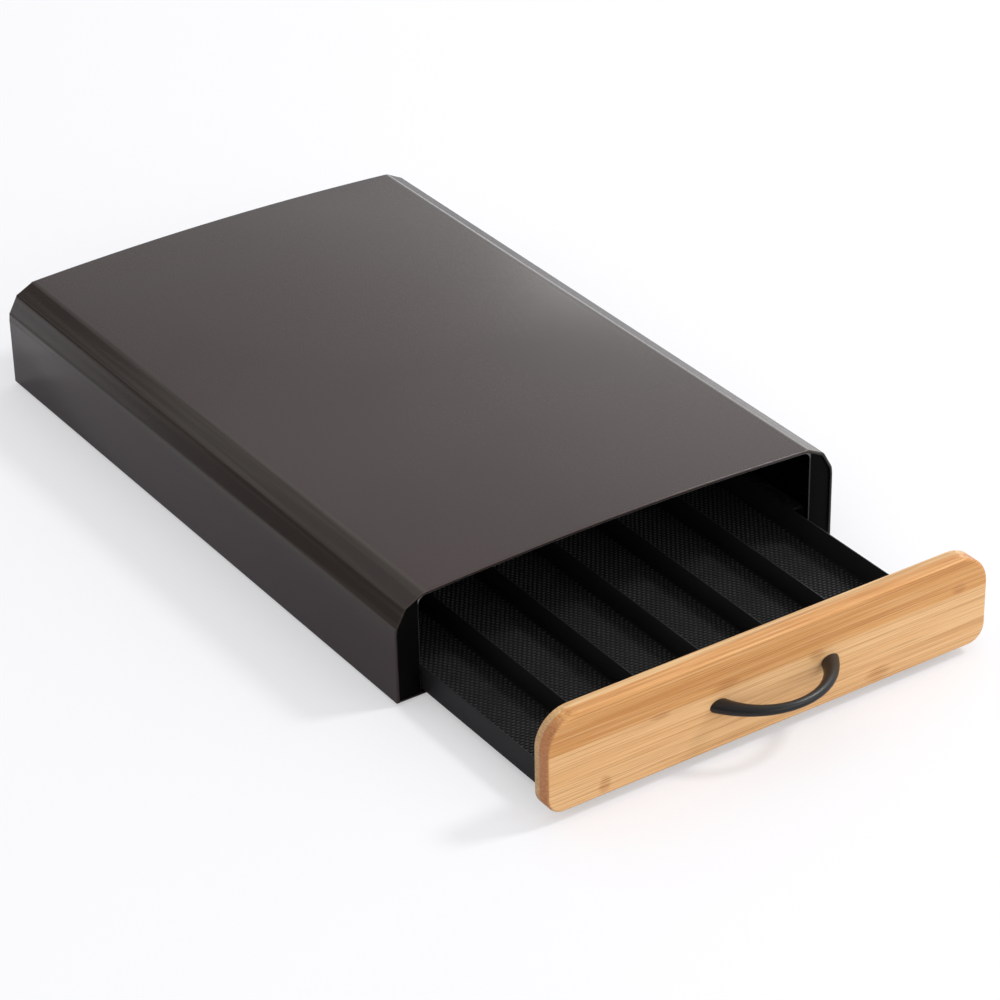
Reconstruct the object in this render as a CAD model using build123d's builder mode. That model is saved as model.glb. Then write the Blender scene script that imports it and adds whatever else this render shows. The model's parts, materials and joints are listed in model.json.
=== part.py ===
from build123d import *
import math
import os

os.makedirs("parts", exist_ok=True)

# Coffee pod drawer: a low sheet-steel casing that a coffee machine stands on, and a
# sheet-steel tray with a bamboo front that slides out of it towards -Y.
# Millimetres. The origin lies on the table, under the middle of the whole object as it
# stands with its drawer pulled out: x runs right, y to the back and z up.

# Casing
casing_width = 280.0
casing_depth = 420.0
casing_height = 66.0
corner_radius = 20.5
crown_rise = 3.4
sheet = 1.0
seam_gap = 0.1
plate_recess = 1.0
rim_width = 2.0
rim_roundness = 0.4
frame_return = 10.0
frame_band = 15.0
mouth_top_band = 2.6
mouth_corner_radius = 5.0
back_recess = 2.0
back_return = 8.0

# Base pan and feet
foot_height = 1.5
foot_diameter = 12.0
foot_inset = 18.0
foot_chamfer = 0.4
pan_side_height = 12.0
pan_end_gap = 0.5
bead_width = 8.0
bead_rise = 0.5
bead_spacing = 80.0
bead_end_margin = 30.0

# Guide rails, runners and stops
rail_bend_radius = 1.5
rail_foot_width = 7.0
lip_overlap = 0.8
lip_gap = 0.8
rail_clearance = 1.0
runner_width = 12.0
runner_rise = 1.0
runner_inset = 12.0
runner_end_margin = 6.0
runner_corner = 3.0
ear_reach = 4.0
ear_height = 11.0
ear_foot_length = 16.0
ear_sheet = 1.2
stop_travel = 305.0
stop_pad_thickness = 2.0
stop_pad_width = 3.4
stop_pad_height = 9.0
stop_pad_corner = 0.8
rear_pad_diameter = 10.0
rear_pad_thickness = 3.0
rear_pad_spacing = 120.0
rear_pad_gap = 0.3
rear_pad_slope = 12.0

# Drawer tray
pulled_out = 118.0
closed_gap = 0.5
tray_side_gap = 1.0
tray_height = 15.0
tray_sheet = 0.8
tray_edge_radius = 0.6
lane_count = 6
divider_height = 13.4
divider_corner_radius = 4.0
divider_end_gap = 0.3
mat_thickness = 1.2
mat_gap = 0.3

# Bamboo front
panel_side_inset = 3.0
panel_top_inset = 6.2
panel_lift = 5.8
panel_top_radius = 19.0
panel_bottom_radius = 10.0
panel_edge_radius = 1.5
front_ply = 7.0
back_ply = 5.0

# Bow handle
handle_spacing = 69.0
handle_drop = 1.4
handle_bow = 21.4
grip_radius = 2.5
foot_radial = 5.0
foot_vertical = 3.9
swell_power = 2.2
handle_sections = 9
handle_overrun = 1.15

# Screws and rivets
handle_screw_diameter = 4.0
handle_screw_bite = 3.5
handle_head_diameter = 8.0
handle_head_height = 2.4
handle_head_sunk = 2.6
handle_head_slope = 10.0
panel_screw_diameter = 3.2
panel_screw_bite = 8.0
panel_head_diameter = 6.5
panel_head_height = 1.8
panel_head_slope = 20.0
panel_screw_height = 7.5
panel_screw_count = 4
rivet_diameter = 3.0
rivet_head_diameter = 5.4
rivet_head_height = 0.8
rivet_head_slope = 30.0
rivet_spacing = 8.0
hole_clearance = 0.15
thread_gap = 0.05
head_clearance = 0.3

# Places worked out from the sizes above
half_width = casing_width / 2
drawer_reach = closed_gap + pulled_out + back_ply + front_ply + handle_bow + grip_radius
casing_front = drawer_reach - (casing_depth + drawer_reach) / 2
casing_back = casing_front + casing_depth
casing_middle = (casing_front + casing_back) / 2
pan_top = foot_height + sheet
plate_inset = sheet + seam_gap
frame_front = casing_front + plate_recess
frame_back = frame_front + sheet
back_outer = casing_back - back_recess
back_inner = back_outer - sheet

mouth_half = half_width - frame_band
tray_half = mouth_half - tray_side_gap
tray_inner_half = tray_half - tray_sheet
tray_bottom = pan_top + runner_rise
tray_floor = tray_bottom + tray_sheet
tray_top = tray_bottom + tray_height

panel_back_closed = casing_front - closed_gap
panel_back = panel_back_closed - pulled_out
ply_joint = panel_back - back_ply
panel_face = ply_joint - front_ply
tray_rear_closed = back_inner - rear_pad_thickness - rear_pad_gap
tray_length = tray_rear_closed - panel_back_closed
tray_front = panel_back
tray_rear = tray_front + tray_length
tray_middle = (tray_front + tray_rear) / 2

web_inner = tray_half + ear_reach + rail_clearance
lip_bottom = tray_top + lip_gap
lane_pitch = 2 * tray_inner_half / lane_count
lane_front = tray_front + tray_sheet
lane_rear = tray_rear - tray_sheet
panel_width = casing_width - 2 * panel_side_inset
panel_height = casing_height - panel_top_inset - panel_lift

# The crown is one long arc, and each top corner a small arc tangent to it and to the side
crown_radius = ((half_width - corner_radius) ** 2 + crown_rise**2) / (2 * crown_rise)
crown_centre_z = casing_height - crown_radius


def finish(builder, label):
    builder.part.label = label
    export_step(builder.part, f"parts/{label}.step")


def arch(half, inset, radius, bottom):
    # A face with upright sides, rounded top corners and a crowned top, "inset" below the crown
    crown = crown_radius - inset
    corner_x = half - radius
    reach = crown - radius
    corner_z = crown_centre_z + math.sqrt(reach**2 - corner_x**2)
    turn = math.degrees(math.atan2(corner_z - crown_centre_z, corner_x))
    with BuildSketch() as outline:
        with BuildLine():
            Line((half, bottom), (half, corner_z))
            CenterArc((corner_x, corner_z), radius, 0, turn)
            CenterArc((0, crown_centre_z), crown, turn, 180 - 2 * turn)
            CenterArc((-corner_x, corner_z), radius, 180 - turn, turn)
            Line((-half, corner_z), (-half, bottom))
            Line((-half, bottom), (half, bottom))
        make_face()
    return outline.sketch


def contour(inset, bottom):
    # The casing's own outline, moved inwards by "inset"
    return arch(half_width - inset, inset, corner_radius - inset, bottom)


def facing(y):
    # Sketch plane across the casing at depth y: x runs right and z up, the normal is -Y
    return Plane.XZ.offset(-y)


# Casing

with BuildPart() as casing_shell:
    with BuildSketch(facing(casing_front)):
        add(contour(0, foot_height))
        add(contour(sheet, foot_height - sheet), mode=Mode.SUBTRACT)
    extrude(amount=-casing_depth)
    # The front edge is turned in, which leaves a thick rounded rim before the front frame
    with BuildSketch(facing(casing_front)):
        add(contour(0, foot_height))
        add(contour(rim_width, foot_height - sheet), mode=Mode.SUBTRACT)
    extrude(amount=seam_gap - plate_recess)
    fillet(casing_shell.faces().sort_by(Axis.Y)[0].edges(), rim_roundness)
finish(casing_shell, "casing_shell")

with BuildPart() as front_frame:
    with BuildSketch(facing(frame_front)):
        add(contour(plate_inset, pan_top))
    extrude(amount=-frame_return)
    with BuildSketch(facing(frame_back)):
        add(contour(plate_inset + sheet, pan_top - sheet))
    extrude(amount=-frame_return, mode=Mode.SUBTRACT)
    with BuildSketch(facing(frame_front)):
        add(arch(mouth_half, mouth_top_band, mouth_corner_radius, pan_top - sheet))
    extrude(amount=-frame_return, both=True, mode=Mode.SUBTRACT)
finish(front_frame, "front_frame")

with BuildPart() as back_panel:
    with BuildSketch(facing(back_outer)):
        add(contour(plate_inset, pan_top))
    extrude(amount=back_return)
    with BuildSketch(facing(back_inner)):
        add(contour(plate_inset + sheet, pan_top - sheet))
    extrude(amount=back_return, mode=Mode.SUBTRACT)
finish(back_panel, "back_panel")

pan_front = frame_front
pan_rear = casing_back - pan_end_gap
pan_half = half_width - plate_inset
pan_side_front = frame_front + frame_return + seam_gap
pan_side_rear = back_outer - back_return - seam_gap
bead_length = casing_depth - 2 * bead_end_margin

with BuildPart() as base_pan:
    with BuildSketch(Plane.XY.offset(foot_height)):
        with Locations((0, casing_middle)):
            Rectangle(2 * pan_half, pan_rear - pan_front)
    extrude(amount=sheet)
    with BuildSketch(facing(pan_side_front)):
        for side in (-1, 1):
            with Locations((side * (pan_half - sheet / 2), foot_height + pan_side_height / 2)):
                Rectangle(sheet, pan_side_height)
    extrude(amount=-(pan_side_rear - pan_side_front))
    # Two pressed beads stiffen the floor: a rib above and the same groove below
    with BuildSketch(Plane.XY.offset(pan_top)):
        with Locations((0, casing_middle)):
            with GridLocations(bead_spacing, 0, 2, 1):
                SlotOverall(bead_length, bead_width, rotation=90)
    extrude(amount=bead_rise)
    with BuildSketch(Plane.XY.offset(foot_height)):
        with Locations((0, casing_middle)):
            with GridLocations(bead_spacing, 0, 2, 1):
                SlotOverall(bead_length - 2 * sheet, bead_width - 2 * sheet, rotation=90)
    extrude(amount=bead_rise, mode=Mode.SUBTRACT)
finish(base_pan, "base_pan")

foot_x = half_width - foot_inset
foot_places = {
    "rubber_foot_front_left": (-foot_x, casing_front + foot_inset),
    "rubber_foot_front_right": (foot_x, casing_front + foot_inset),
    "rubber_foot_rear_left": (-foot_x, casing_back - foot_inset),
    "rubber_foot_rear_right": (foot_x, casing_back - foot_inset),
}

for foot_name, foot_place in foot_places.items():
    with BuildPart() as rubber_foot:
        with BuildSketch():
            with Locations(foot_place):
                Circle(foot_diameter / 2)
        extrude(amount=foot_height)
        chamfer(rubber_foot.faces().sort_by(Axis.Z)[0].edges(), foot_chamfer)
    finish(rubber_foot, foot_name)

# Rails, runners and stops

rail_front = frame_front + frame_return
rail_rear = back_inner - seam_gap
rail_centre = web_inner + sheet / 2
lip_centre = lip_bottom + sheet / 2
foot_centre = pan_top + sheet / 2
runner_x = tray_half - runner_inset
runner_front = casing_front + runner_end_margin
runner_rear = back_inner - runner_end_margin
pad_x = mouth_half + stop_pad_width / 2 + seam_gap
pad_z = tray_bottom + tray_height / 2

for side_name, side in (("left", -1), ("right", 1)):
    with BuildPart() as guide_rail:
        with BuildSketch(facing(rail_front)):
            with BuildLine():
                FilletPolyline(
                    (side * (rail_centre + rail_foot_width), foot_centre),
                    (side * rail_centre, foot_centre),
                    (side * rail_centre, lip_centre),
                    (side * (tray_inner_half - lip_overlap), lip_centre),
                    radius=rail_bend_radius,
                )
            trace(line_width=sheet)
        extrude(amount=-(rail_rear - rail_front))
    finish(guide_rail, f"{side_name}_guide_rail")

    with BuildPart() as runner_strip:
        with BuildSketch(Plane.XY.offset(pan_top)):
            with Locations((side * runner_x, (runner_front + runner_rear) / 2)):
                RectangleRounded(runner_width, runner_rear - runner_front, runner_corner)
        extrude(amount=runner_rise)
    finish(runner_strip, f"{side_name}_runner_strip")

    with BuildPart() as stop_pad:
        with BuildSketch(facing(frame_back)):
            with Locations((side * pad_x, pad_z)):
                RectangleRounded(stop_pad_width, stop_pad_height, stop_pad_corner)
        extrude(amount=-stop_pad_thickness)
    finish(stop_pad, f"{side_name}_stop_pad")

    with BuildPart() as rear_pad:
        with BuildSketch(facing(back_inner)):
            with Locations((side * rear_pad_spacing / 2, pad_z)):
                Circle(rear_pad_diameter / 2)
        extrude(amount=rear_pad_thickness, taper=rear_pad_slope)
    finish(rear_pad, f"{side_name}_rear_pad")

# Tray

# The stop ears sit where they meet the pads once the drawer is "stop_travel" out
ear_front = frame_back + stop_pad_thickness + stop_travel - pulled_out
ear_middle = ear_front + ear_foot_length / 2
panel_screw_z = tray_floor + panel_screw_height
panel_screw_spacing = (lane_count - 1) * lane_pitch / (panel_screw_count - 1)
rivet_hole = rivet_diameter / 2 + hole_clearance
panel_hole = panel_screw_diameter / 2 + hole_clearance

with BuildPart() as tray_base:
    with BuildSketch(Plane.XY.offset(tray_bottom)):
        with Locations((0, tray_middle)):
            Rectangle(2 * tray_inner_half, lane_rear - lane_front)
    extrude(amount=tray_sheet)
finish(tray_base, "tray_base")

with BuildPart() as tray_front_wall:
    with BuildSketch(facing(tray_front)):
        with Locations((0, pad_z)):
            Rectangle(2 * tray_inner_half, tray_height)
        with Locations((0, panel_screw_z)):
            with GridLocations(panel_screw_spacing, 0, panel_screw_count, 1):
                Circle(panel_hole, mode=Mode.SUBTRACT)
    extrude(amount=-tray_sheet)
finish(tray_front_wall, "tray_front_wall")

with BuildPart() as tray_rear_wall:
    with BuildSketch(facing(lane_rear)):
        with Locations((0, pad_z)):
            Rectangle(2 * tray_inner_half, tray_height)
    extrude(amount=-tray_sheet)
finish(tray_rear_wall, "tray_rear_wall")

for side_name, side in (("left", -1), ("right", 1)):
    with BuildPart() as tray_side_wall:
        with BuildSketch(Plane.YZ.offset(side * tray_inner_half)):
            with Locations((tray_middle, pad_z)):
                Rectangle(tray_length, tray_height)
            with Locations((ear_middle, pad_z)):
                with GridLocations(rivet_spacing, 0, 2, 1):
                    Circle(rivet_hole, mode=Mode.SUBTRACT)
        extrude(amount=side * tray_sheet)
        outer_face = tray_side_wall.faces().sort_by(Axis.X, reverse=side > 0)[0]
        fillet(outer_face.edges().sort_by(Axis.Z)[0], tray_edge_radius)
    finish(tray_side_wall, f"tray_{side_name}_wall")

for side_name, side in (("left", -1), ("right", 1)):
    wall_plane = Plane.YZ.offset(side * tray_half)
    with BuildPart() as stop_ear:
        # An angle: its foot lies on the tray's wall, and its ear stands out at the front end
        with BuildSketch(wall_plane):
            with Locations((ear_middle, pad_z)):
                RectangleRounded(ear_foot_length, ear_height, ear_sheet)
                with GridLocations(rivet_spacing, 0, 2, 1):
                    Circle(rivet_hole, mode=Mode.SUBTRACT)
        extrude(amount=side * ear_sheet)
        with BuildSketch(wall_plane):
            with Locations((ear_front + ear_sheet / 2, pad_z)):
                Rectangle(ear_sheet, ear_height)
        extrude(amount=side * ear_reach)
    finish(stop_ear, f"{side_name}_stop_ear")

    with BuildPart() as ear_rivets:
        with BuildSketch(Plane.YZ.offset(side * tray_inner_half)):
            with Locations((ear_middle, pad_z)):
                with GridLocations(rivet_spacing, 0, 2, 1):
                    Circle(rivet_diameter / 2)
        extrude(amount=side * (tray_sheet + ear_sheet))
        with BuildSketch(Plane.YZ.offset(side * tray_inner_half)):
            with Locations((ear_middle, pad_z)):
                with GridLocations(rivet_spacing, 0, 2, 1):
                    Circle(rivet_head_diameter / 2)
        extrude(amount=-side * rivet_head_height, taper=rivet_head_slope)
        with BuildSketch(Plane.YZ.offset(side * (tray_half + ear_sheet))):
            with Locations((ear_middle, pad_z)):
                with GridLocations(rivet_spacing, 0, 2, 1):
                    Circle(rivet_head_diameter / 2)
        extrude(amount=side * rivet_head_height, taper=rivet_head_slope)
    finish(ear_rivets, f"{side_name}_ear_rivets")

divider_length = lane_rear - lane_front - 2 * divider_end_gap
divider_top = tray_floor + divider_height
for index in range(1, lane_count):
    blade_x = -tray_inner_half + index * lane_pitch
    with BuildPart() as lane_divider:
        with BuildSketch(Plane.YZ.offset(blade_x - tray_sheet / 2)):
            with Locations((tray_middle, (tray_floor + divider_top) / 2)):
                Rectangle(divider_length, divider_height)
        extrude(amount=tray_sheet)
        fillet(lane_divider.edges().filter_by(Axis.X).group_by(Axis.Z)[-1], divider_corner_radius)
    finish(lane_divider, f"lane_divider_{index}")

mat_length = lane_rear - lane_front - 2 * mat_gap
mat_width = lane_pitch - tray_sheet - 2 * mat_gap
for index in range(1, lane_count + 1):
    lane_x = -tray_inner_half + (index - 0.5) * lane_pitch
    with BuildPart() as lane_mat:
        with BuildSketch(Plane.XY.offset(tray_floor)):
            with Locations((lane_x, tray_middle)):
                Rectangle(mat_width, mat_length)
        extrude(amount=mat_thickness)
    finish(lane_mat, f"lane_mat_{index}")

# Bamboo front and handle

panel_middle = panel_lift + panel_height / 2
handle_z = panel_middle - handle_drop
handle_hole = handle_screw_diameter / 2 + hole_clearance
handle_head_hole = handle_head_diameter / 2 + head_clearance


def board():
    # The panel's face: a board with large round corners at the top and smaller ones below
    with BuildSketch() as outline:
        with Locations((0, panel_middle)):
            Rectangle(panel_width, panel_height)
        fillet(outline.vertices().group_by(Axis.Y)[-1], panel_top_radius)
        fillet(outline.vertices().group_by(Axis.Y)[0], panel_bottom_radius)
    return outline.sketch


with BuildPart() as bamboo_back_ply:
    with BuildSketch(facing(panel_back)):
        add(board())
        with Locations((0, handle_z)):
            with GridLocations(handle_spacing, 0, 2, 1):
                Circle(handle_hole, mode=Mode.SUBTRACT)
        with Locations((0, panel_screw_z)):
            with GridLocations(panel_screw_spacing, 0, panel_screw_count, 1):
                Circle(panel_hole, mode=Mode.SUBTRACT)
    extrude(amount=back_ply)
    fillet(bamboo_back_ply.faces().sort_by(Axis.Y)[-1].outer_wire().edges(), panel_edge_radius)
    with BuildSketch(facing(panel_back)):
        with Locations((0, handle_z)):
            with GridLocations(handle_spacing, 0, 2, 1):
                Circle(handle_head_hole)
    extrude(amount=handle_head_sunk, mode=Mode.SUBTRACT)
finish(bamboo_back_ply, "bamboo_back_ply")

with BuildPart() as bamboo_front_ply:
    with BuildSketch(facing(ply_joint)):
        add(board())
        with Locations((0, handle_z)):
            with GridLocations(handle_spacing, 0, 2, 1):
                Circle(handle_hole, mode=Mode.SUBTRACT)
    extrude(amount=front_ply)
    fillet(bamboo_front_ply.faces().sort_by(Axis.Y)[0].outer_wire().edges(), panel_edge_radius)
    with BuildSketch(facing(ply_joint)):
        with Locations((0, panel_screw_z)):
            with GridLocations(panel_screw_spacing, 0, panel_screw_count, 1):
                Circle(panel_hole)
    extrude(amount=panel_screw_bite - back_ply + hole_clearance, mode=Mode.SUBTRACT)
finish(bamboo_front_ply, "bamboo_front_ply")

# The grip follows one arc from foot to foot, a round bar that swells into two flat feet
bow_half = handle_spacing / 2
bow_radius = (bow_half**2 + handle_bow**2) / (2 * handle_bow)
bow_centre_y = panel_face - handle_bow + bow_radius
bow_turn = math.degrees(math.asin(bow_half / bow_radius))
handle_hole_depth = handle_screw_bite + head_clearance


def grip_section(share):
    # Plane and half sizes of the bar, from -1 at the left foot to 1 at the right one
    turn = math.radians(share * bow_turn)
    origin = (bow_radius * math.sin(turn), bow_centre_y - bow_radius * math.cos(turn), handle_z)
    along = (math.cos(turn), math.sin(turn), 0)
    swell = abs(share) ** swell_power
    radial = grip_radius + (foot_radial - grip_radius) * swell
    vertical = grip_radius + (foot_vertical - grip_radius) * swell
    return Plane(origin=origin, x_dir=(0, 0, 1), z_dir=along), vertical, radial


with BuildPart() as bow_handle:
    for step in range(handle_sections):
        share = handle_overrun * (2 * step / (handle_sections - 1) - 1)
        section_plane, vertical, radial = grip_section(share)
        with BuildSketch(section_plane):
            Ellipse(vertical, radial)
    loft()
    split(bisect_by=facing(panel_face), keep=Keep.TOP)
    with BuildSketch(facing(panel_face)):
        with Locations((0, handle_z)):
            with GridLocations(handle_spacing, 0, 2, 1):
                Circle(handle_screw_diameter / 2 + thread_gap)
    extrude(amount=handle_hole_depth, mode=Mode.SUBTRACT)
finish(bow_handle, "bow_handle")

head_seat = panel_back - handle_head_sunk
with BuildPart() as handle_screws:
    with BuildSketch(facing(head_seat)):
        with Locations((0, handle_z)):
            with GridLocations(handle_spacing, 0, 2, 1):
                Circle(handle_screw_diameter / 2)
    extrude(amount=head_seat - panel_face + handle_screw_bite)
    with BuildSketch(facing(head_seat)):
        with Locations((0, handle_z)):
            with GridLocations(handle_spacing, 0, 2, 1):
                Circle(handle_head_diameter / 2)
    extrude(amount=-handle_head_height, taper=handle_head_slope)
finish(handle_screws, "handle_screws")

screw_seat = tray_front + tray_sheet
with BuildPart() as panel_screws:
    with BuildSketch(facing(screw_seat)):
        with Locations((0, panel_screw_z)):
            with GridLocations(panel_screw_spacing, 0, panel_screw_count, 1):
                Circle(panel_screw_diameter / 2)
    extrude(amount=tray_sheet + panel_screw_bite)
    with BuildSketch(facing(screw_seat)):
        with Locations((0, panel_screw_z)):
            with GridLocations(panel_screw_spacing, 0, panel_screw_count, 1):
                Circle(panel_head_diameter / 2)
    extrude(amount=-panel_head_height, taper=panel_head_slope)
finish(panel_screws, "panel_screws")
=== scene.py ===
import json
import math

import bmesh
import bpy
from mathutils import Matrix, Vector


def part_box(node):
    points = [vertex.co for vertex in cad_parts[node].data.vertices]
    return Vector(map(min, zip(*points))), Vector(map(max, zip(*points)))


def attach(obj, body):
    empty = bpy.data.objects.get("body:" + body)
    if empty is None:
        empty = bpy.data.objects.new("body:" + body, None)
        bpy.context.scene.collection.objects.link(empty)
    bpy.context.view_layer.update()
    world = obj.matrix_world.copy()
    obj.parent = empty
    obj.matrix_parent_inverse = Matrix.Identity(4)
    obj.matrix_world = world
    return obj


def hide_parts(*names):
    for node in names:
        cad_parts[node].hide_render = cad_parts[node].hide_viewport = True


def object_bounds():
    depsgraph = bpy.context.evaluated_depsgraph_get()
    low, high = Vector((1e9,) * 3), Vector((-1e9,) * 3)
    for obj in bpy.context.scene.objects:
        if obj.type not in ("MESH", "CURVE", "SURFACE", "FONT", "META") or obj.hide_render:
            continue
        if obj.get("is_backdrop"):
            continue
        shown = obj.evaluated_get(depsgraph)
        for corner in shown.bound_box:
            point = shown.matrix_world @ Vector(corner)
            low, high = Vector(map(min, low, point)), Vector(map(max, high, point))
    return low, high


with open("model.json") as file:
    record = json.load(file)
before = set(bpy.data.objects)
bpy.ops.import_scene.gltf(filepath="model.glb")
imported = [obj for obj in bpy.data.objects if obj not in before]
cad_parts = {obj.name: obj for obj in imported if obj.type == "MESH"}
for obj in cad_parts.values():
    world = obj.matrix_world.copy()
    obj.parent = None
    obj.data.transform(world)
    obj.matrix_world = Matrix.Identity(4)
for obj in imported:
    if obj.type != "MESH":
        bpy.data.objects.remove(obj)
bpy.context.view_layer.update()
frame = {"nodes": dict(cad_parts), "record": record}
nodes = frame["nodes"]
print("frame loaded,", len(nodes), "nodes")


def paint(red, green, blue):
    # a colour as an image editor shows it, made linear
    def straight(value):
        value = value / 255
        return value / 12.92 if value <= 0.04045 else ((value + 0.055) / 1.055) ** 2.4
    return (straight(red), straight(green), straight(blue), 1.0)


class Wire:
    # one shader socket that can stand in a plain sum
    def __init__(self, finish, socket):
        self.finish = finish
        self.socket = socket

    def __add__(self, other):
        return self.finish.maths("ADD", self, other)

    def __sub__(self, other):
        return self.finish.maths("SUBTRACT", self, other)

    def __rsub__(self, other):
        return self.finish.maths("SUBTRACT", other, self)

    def __mul__(self, other):
        return self.finish.maths("MULTIPLY", self, other)

    def __truediv__(self, other):
        return self.finish.maths("DIVIDE", self, other)

    __radd__ = __add__
    __rmul__ = __mul__


class Finish:
    def __init__(self, tree):
        self.tree = tree
        self.tree.nodes.clear()

    def node(self, kind, settings=None, inputs=None, output=0):
        made = self.tree.nodes.new(kind)
        for name, value in (settings or {}).items():
            setattr(made, name, value)
        for name, value in (inputs or {}).items():
            if isinstance(name, int):
                socket = made.inputs[name]
            else:
                socket = next(s for s in made.inputs if name in (s.identifier, s.name))
            if isinstance(value, Wire):
                self.tree.links.new(value.socket, socket)
            else:
                socket.default_value = value
        return Wire(self, made.outputs[output]) if len(made.outputs) else None

    def maths(self, operation, *values):
        return self.node("ShaderNodeMath", {"operation": operation}, dict(enumerate(values)))

    def place(self, scale=(1, 1, 1), shift=(0, 0, 0)):
        # the point on the piece, stretched and moved
        spot = self.node("ShaderNodeTexCoord", output="Object")
        return self.node("ShaderNodeMapping", {}, {"Vector": spot, "Scale": scale, "Location": shift})

    def split(self, vector):
        parts = self.node("ShaderNodeSeparateXYZ", {}, {"Vector": vector}).socket.node.outputs
        return [Wire(self, part) for part in parts]

    def noise(self, where, scale, detail, roughness=0.55):
        return self.node("ShaderNodeTexNoise", {},
                         {"Vector": where, "Scale": scale, "Detail": detail, "Roughness": roughness})

    def span(self, value, low, high, toLow=0.0, toHigh=1.0):
        # the value between low and high, eased and spread over toLow to toHigh
        return self.node("ShaderNodeMapRange", {"interpolation_type": "SMOOTHSTEP"},
                         {"Value": value, "From Min": low, "From Max": high, "To Min": toLow, "To Max": toHigh})

    def tint(self, factor, first, second):
        return self.node("ShaderNodeMix", {"data_type": "RGBA"},
                         {"Factor_Float": factor, "A_Color": first, "B_Color": second}, output=2)

    def bump(self, height, strength, distance, under=None):
        links = {"Height": height, "Strength": strength, "Distance": distance}
        if under:
            links["Normal"] = under
        return self.node("ShaderNodeBump", {}, links)

    def surface(self, **values):
        names = {"colour": "Base Color", "roughness": "Roughness", "metallic": "Metallic", "normal": "Normal",
                 "specular": "Specular IOR Level"}
        shader = self.node("ShaderNodeBsdfPrincipled", {}, {names[key]: value for key, value in values.items()})
        self.node("ShaderNodeOutputMaterial", {}, {"Surface": shader})


def newFinish(name):
    material = bpy.data.materials.new(name)
    material.use_nodes = True
    return material, Finish(material.node_tree)


# the paint's grain, the same on every painted piece; a span is low, high and, where given, the values there
coatGrain = {"cloudDetail": 2.0, "peelDetail": 2.0, "peelRoughness": 0.6, "peelHeight": 0.0004, "speckDetail": 1.0,
             "cloudSpan": (0.3, 0.7), "glossSpan": (0.25, 0.75), "dustSpan": (0.66, 0.8),
             "dustDull": (0.5, 0.8, 0.0, 0.05)}


def powderCoat(name, coat):
    # baked powder paint: fine orange peel, cloudy gloss and a little dust
    material, make = newFinish(name)
    where = make.place()
    cloud = make.noise(where, coat["cloudScale"], coatGrain["cloudDetail"])
    peel = make.noise(where, coat["peelScale"], coatGrain["peelDetail"], coatGrain["peelRoughness"])
    speck = make.noise(where, coat["speckScale"], coatGrain["speckDetail"])
    colour = make.tint(make.span(cloud, *coatGrain["cloudSpan"]), coat["dark"], coat["light"])
    colour = make.tint(make.span(speck, *coatGrain["dustSpan"], 0.0, coat["dust"]), colour, coat["dustColour"])
    under = None
    if "bend" in coat:
        # the folded corners carry soft ridges that run the whole length, painted reflection as a tint over the bend
        # and painted reflection streaks along it
        bend = coat["bend"]
        along, height = make.split(where)[::2]
        mask = make.span(make.maths("ABSOLUTE", along), bend["out"], bend["out"] + bend["soft"])
        mask = mask * make.span(height, bend["low"], bend["low"] + bend["soft"])
        ridges = make.noise(make.place(bend["ridgeStretch"]), bend["ridgeScale"], bend["ridgeDetail"])
        streakPlace = make.place(bend["streakStretch"], bend["streakShift"])
        streaks = make.noise(streakPlace, bend["streakScale"], bend["streakDetail"])
        colour = make.tint(mask * bend["weight"], colour, bend["colour"])
        colour = make.tint(make.span(streaks, *bend["streakSpan"]) * mask, colour, bend["catchLight"])
        under = make.bump(ridges * mask, bend["ridge"], bend["ridgeHeight"])
    if "insideShade" in coat:
        # painted shade: the sheet's inner side is painted darker, there the face looks towards the casing's axis
        insideShade = coat["insideShade"]
        along, height = make.split(where)[::2]
        faceAlong, faceHeight = make.split(make.node("ShaderNodeNewGeometry", output="Normal"))[::2]
        outward = along * faceAlong + (height - insideShade["axisHeight"]) * faceHeight
        colour = make.tint(make.span(outward, *insideShade["span"]), colour, insideShade["colour"])
    if "edgeHighlight" in coat:
        # painted highlight: the cut edge of the mouth is painted as a thin pale line
        sideways = make.maths("ABSOLUTE", make.split(where)[0])
        colour = make.tint(make.span(sideways, *coat["edgeHighlight"]["span"]), colour, coat["edgeHighlight"]["colour"])
    rough = make.span(cloud, *coatGrain["glossSpan"], coat["glossy"], coat["dull"])
    rough = rough + make.span(speck, *coatGrain["dustDull"])
    make.surface(colour=colour, roughness=rough, specular=coat["specular"],
                 normal=make.bump(peel, coat["peel"], coatGrain["peelHeight"], under))
    return material


plainCoat = {"dark": paint(50, 37, 36), "light": paint(55, 41, 40), "dustColour": paint(96, 90, 86), "dust": 0.05,
             "cloudScale": 7.0, "peelScale": 1500.0, "speckScale": 2600.0, "glossy": 0.21, "dull": 0.27,
             "peel": 0.06, "specular": 0.5}
casingCoat = dict(plainCoat, **{
    # painted reflection: the bend colour and the streak colour are painted on the folded corners
    "bend": {"out": 0.1190, "low": 0.0410, "soft": 0.004, "colour": paint(48, 43, 38), "weight": 0.6,
             "ridge": 0.12, "ridgeHeight": 0.0015, "ridgeScale": 110.0, "ridgeDetail": 1.0,
             "ridgeStretch": (1, 0.012, 1), "catchLight": paint(60, 53, 47), "streakScale": 242.0, "streakDetail": 2.0,
             "streakStretch": (1, 0.020, 1), "streakShift": (0.3, 0.1, 0.7), "streakSpan": (0.42, 0.66)},
    # painted shade: the sheet's inner side is painted near black
    "insideShade": {"colour": paint(14, 13, 13), "axisHeight": 0.030, "span": (-0.005, -0.015)},
})
trayCoat = {"dark": paint(30, 30, 32), "light": paint(37, 37, 39), "dustColour": paint(80, 78, 76), "dust": 0.10,
            "cloudScale": 9.0, "peelScale": 1700.0, "speckScale": 2800.0, "glossy": 0.40, "dull": 0.48,
            "peel": 0.10, "specular": 0.3}
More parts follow.
